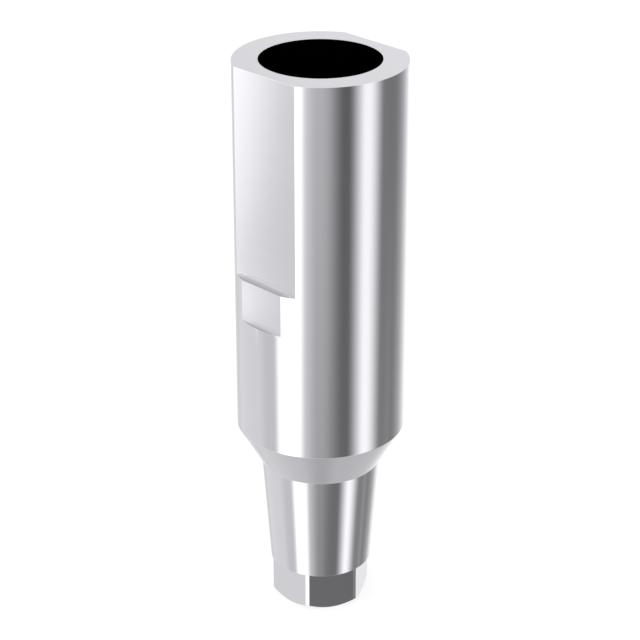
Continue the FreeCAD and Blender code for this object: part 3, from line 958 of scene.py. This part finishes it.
# %% The tent's output
paths = add_node(tent, "ShaderNodeLightPath", 6, 6)
seen_plain = calculate(tent, "MAXIMUM", 7, 6, paths.outputs["Is Camera Ray"],
                       paths.outputs["Is Transmission Ray"])
strength = feed(tent, add_node(tent, "ShaderNodeMix", 9, 3, data_type="FLOAT"),
                {0: seen_plain, 2: light, 3: 1.0})
glow = feed(tent, add_node(tent, "ShaderNodeBackground", 10, 3),
            {"Color": (1.0, 1.0, 1.0, 1.0), "Strength": strength.outputs[0]})
feed(tent, add_node(tent, "ShaderNodeOutputWorld", 11, 3), {"Surface": glow.outputs[0]})
print("nodes of the tent:", len(tent.nodes))

# %% [markdown]
# ## The floor
# The part stands on a white table that melts into the white behind it. Most of the table's brightness is its
# own, and only a small share is lit, so that the part still leaves a breath of shadow where it stands. Seen
# from below, the table is clear, because otherwise it would hide the hexagon and the screw from such a view.
# The metal doesn't mirror it: the tent already carries the table's light in its lowest part.

# %% A disc that fades into white
TABLE_LEVEL = -0.01
ring_turn = np.linspace(0.0, 2 * np.pi, 96, endpoint=False)
ring_reach = np.array([0.0, 4.0, 20.0, 80.0, 250.0])
ring_level = np.full((len(ring_reach), len(ring_turn)), TABLE_LEVEL)
disc = np.stack([ring_reach[:, None] * np.cos(ring_turn), ring_reach[:, None] * np.sin(ring_turn),
                 ring_level], axis=-1).reshape(-1, 3)
disc_corners = round_faces(len(ring_reach), len(ring_turn), closed=False)
floor_mesh = bpy.data.meshes.new("table")
floor_mesh.from_pydata((disc * MILLIMETRE).tolist(), [], disc_corners.tolist())
floor_mesh.validate()
floor = bpy.data.objects.new("table", floor_mesh)
bpy.context.scene.collection.objects.link(floor)
floor.visible_glossy = False
print("table faces up:", floor_mesh.polygons[-1].normal.z > 0)

# %% The table's white
white = bpy.data.materials.new("white table")
white.use_nodes = True
tree = white.node_tree
tree.nodes.clear()
lit = feed(tree, add_node(tree, "ShaderNodeBsdfDiffuse", 0, 0), {"Color": (0.35, 0.35, 0.35, 1.0)})
own = feed(tree, add_node(tree, "ShaderNodeEmission", 0, 1), {"Strength": 0.74})
both = feed(tree, add_node(tree, "ShaderNodeAddShader", 1, 0), {0: lit.outputs[0], 1: own.outputs[0]})
plain = add_node(tree, "ShaderNodeBsdfDiffuse", 1, 2)
path = add_node(tree, "ShaderNodeLightPath", 1, -2)
by_camera = feed(tree, add_node(tree, "ShaderNodeMixShader", 2, 0),
                 {0: path.outputs["Is Camera Ray"], 1: plain.outputs[0], 2: both.outputs[0]})
geometry = add_node(tree, "ShaderNodeNewGeometry", 2, 2)
clear = add_node(tree, "ShaderNodeBsdfTransparent", 2, 3)
from_below = feed(tree, add_node(tree, "ShaderNodeMixShader", 3, 0),
                  {0: geometry.outputs["Backfacing"], 1: by_camera.outputs[0], 2: clear.outputs[0]})
feed(tree, add_node(tree, "ShaderNodeOutputMaterial", 4, 0), {"Surface": from_below.outputs[0]})
floor_mesh.materials.append(white)
print("table's material:", white.name)

# %% [markdown]
# ## The camera
# The photograph looks down at the part by 25 degrees, from between its front flat and its right side. The
# lens is long, because a small part is photographed from a little way off, and a long lens keeps its sides
# nearly parallel.

# %% Camera
AZIMUTH, LOOKS_DOWN = np.radians(45.57), np.radians(25.33)
AWAY, UP = 53.22, 33.89
camera_data = bpy.data.cameras.new("camera")
camera_data.sensor_width = 36.0
camera_data.lens = 118.47
camera_data.shift_x, camera_data.shift_y = -0.0008, 0.0003
camera_data.clip_start, camera_data.clip_end = 0.001, 5.0
camera = bpy.data.objects.new("camera", camera_data)
camera.location = (AWAY * np.sin(AZIMUTH) * MILLIMETRE, -AWAY * np.cos(AZIMUTH) * MILLIMETRE, UP * MILLIMETRE)
camera.rotation_euler = (np.pi / 2 - LOOKS_DOWN, 0.0, AZIMUTH)
bpy.context.scene.collection.objects.link(camera)
bpy.context.scene.camera = camera
bpy.context.scene.view_settings.view_transform = "Standard"
print("camera, mm:", [round(v * 1000, 2) for v in camera.location])
